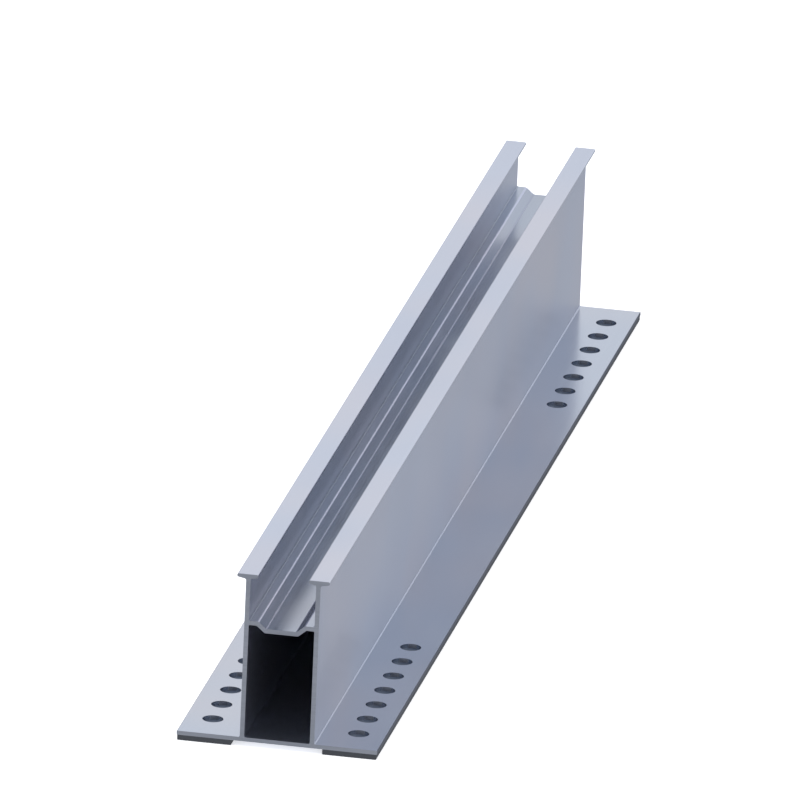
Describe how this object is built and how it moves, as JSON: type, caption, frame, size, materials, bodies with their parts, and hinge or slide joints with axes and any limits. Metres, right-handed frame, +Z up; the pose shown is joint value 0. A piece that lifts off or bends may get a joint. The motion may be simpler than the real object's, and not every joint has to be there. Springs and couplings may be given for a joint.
{
  "type": "solar panel mounting rail",
  "caption": "Short extruded aluminium roof rail: a hollow box with an open clamp channel above, flat flanges with screw holes at both ends, and rubber sealing strips beneath.",
  "frame": {"origin": "centre of the length and width, at the underside of the sealing strips", "axes": "+Y along the rail, +X across it to the right as the picture shows it from the front, +Z up from the roof to the panels"},
  "size_m": [0.0672, 0.47, 0.06],
  "materials": {
    "rail": "extruded, satin",
    "seal_strip": "matt EPDM rubber"
  },
  "bodies": {
    "root": {"rail": "rail", "left_seal_strip": "seal_strip", "right_seal_strip": "seal_strip"}
  },
  "joints": []
}
